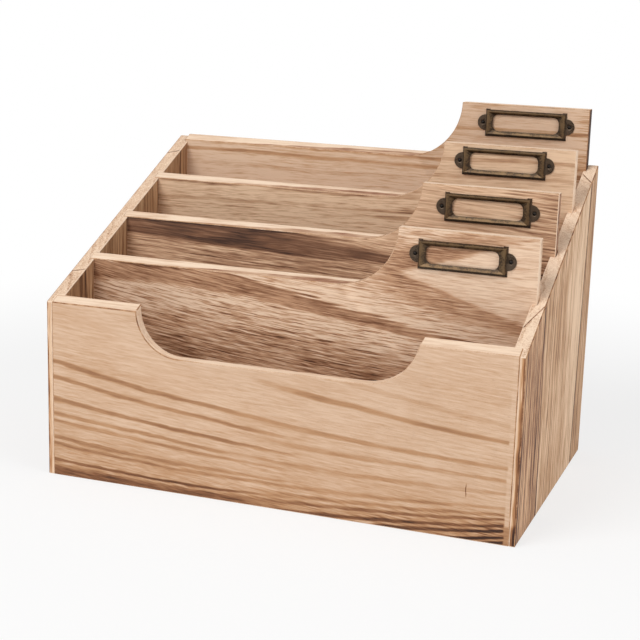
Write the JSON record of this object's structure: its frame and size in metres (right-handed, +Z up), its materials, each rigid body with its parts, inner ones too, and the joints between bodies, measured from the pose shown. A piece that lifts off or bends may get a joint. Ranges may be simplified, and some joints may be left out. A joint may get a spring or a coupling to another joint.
{
  "type": "letter sorter",
  "caption": "Wooden desktop letter sorter with sides sloping up to the back, a scooped front, lift-out dividers and brass label holders on raised tabs.",
  "frame": {"origin": "centre of the rectangle that the box stands on, at its underside", "axes": "+X to the right, along the front panel; +Y from the front to the back; +Z up"},
  "size_m": [0.28, 0.178, 0.2157],
  "materials": {
    "panel_wood": "torched and brushed paulownia, unvarnished",
    "side_wood": "torched and brushed paulownia, upright grain, unvarnished",
    "divider_wood": "torched and brushed paulownia, unvarnished",
    "bottom_wood": "plain thin board, unvarnished",
    "antique_brass": "darkened, rubbed bright on its ridges",
    "brad_steel": "bright wire"
  },
  "bodies": {
    "case": {"front_panel": "panel_wood", "back_panel": "panel_wood", "bottom_board": "bottom_wood", "right_side_front_plank": "side_wood", "right_side_middle_plank": "side_wood", "right_side_rear_plank": "side_wood", "left_side_front_plank": "side_wood", "left_side_middle_plank": "side_wood", "left_side_rear_plank": "side_wood", "back_label_holder": "antique_brass", "back_label_pins": "antique_brass", "bottom_brads": "brad_steel"},
    "front_partition": {"front_divider": "divider_wood", "front_label_holder": "antique_brass", "front_label_pins": "antique_brass"},
    "middle_partition": {"middle_divider": "divider_wood", "middle_label_holder": "antique_brass", "middle_label_pins": "antique_brass"},
    "rear_partition": {"rear_divider": "divider_wood", "rear_label_holder": "antique_brass", "rear_label_pins": "antique_brass"}
  },
  "joints": [
    {"name": "front_partition_lift", "type": "slide", "parent": "case", "child": "front_partition", "axis": [0, 0, 1], "range_m": [0, 0.13]},
    {"name": "middle_partition_lift", "type": "slide", "parent": "case", "child": "middle_partition", "axis": [0, 0, 1], "range_m": [0, 0.149]},
    {"name": "rear_partition_lift", "type": "slide", "parent": "case", "child": "rear_partition", "axis": [0, 0, 1], "range_m": [0, 0.168]}
  ]
}
